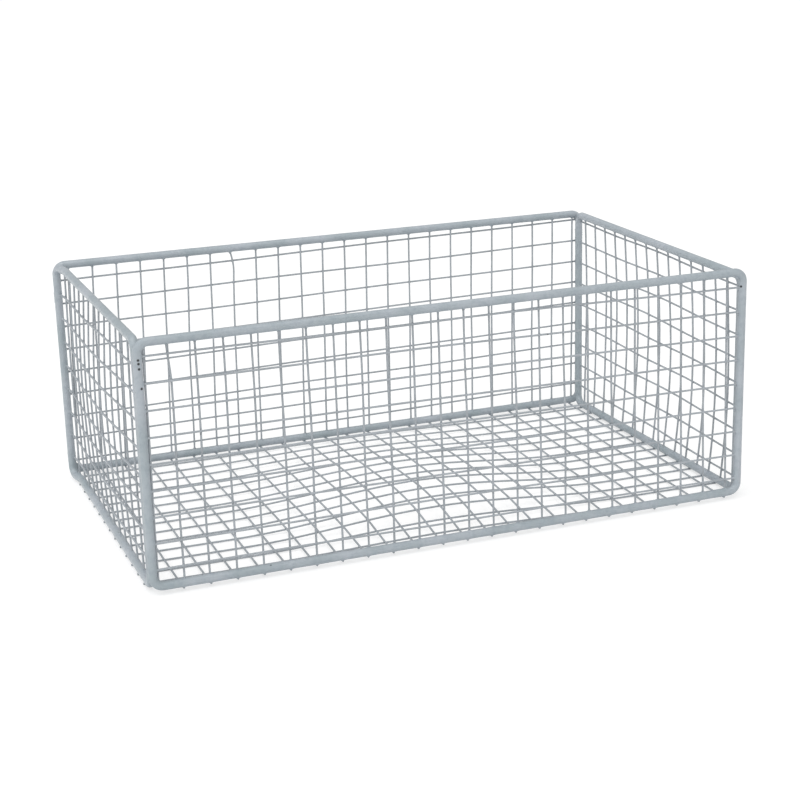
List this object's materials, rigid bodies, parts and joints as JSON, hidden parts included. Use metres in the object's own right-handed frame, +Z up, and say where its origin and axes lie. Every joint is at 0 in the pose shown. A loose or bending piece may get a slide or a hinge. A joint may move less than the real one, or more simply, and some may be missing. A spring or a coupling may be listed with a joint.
{
  "type": "wire locker basket",
  "caption": "Open-top steel wire basket for a locker: bent-rod frames round a welded mesh on four walls and a bottom, all painted pale blue-grey.",
  "frame": {"origin": "middle of the basket's footprint, on the surface that it stands on", "axes": "+X along the basket's length, +Y from its front wall to its back wall, +Z up through its open top"},
  "size_m": [0.462, 0.2828, 0.177],
  "materials": {
    "painted_rod": "thick pale blue-grey enamel on steel rod",
    "painted_wire": "thinner pale grey enamel on steel wire",
    "painted_weld": "enamel pooled over weld beads"
  },
  "bodies": {
    "root": {"front_frame": "painted_rod", "back_frame": "painted_rod", "left_frame": "painted_rod", "right_frame": "painted_rod", "front_uprights": "painted_wire", "front_level_wires": "painted_wire", "back_uprights": "painted_wire", "back_level_wires": "painted_wire", "left_uprights": "painted_wire", "left_level_wires": "painted_wire", "right_uprights": "painted_wire", "right_level_wires": "painted_wire", "bottom_depth_wires": "painted_wire", "bottom_length_wires": "painted_wire", "front_left_upper_welds": "painted_weld", "front_left_lower_welds": "painted_weld", "front_right_upper_welds": "painted_weld", "front_right_lower_welds": "painted_weld", "back_left_upper_welds": "painted_weld", "back_left_lower_welds": "painted_weld", "back_right_upper_welds": "painted_weld", "back_right_lower_welds": "painted_weld"}
  },
  "joints": []
}
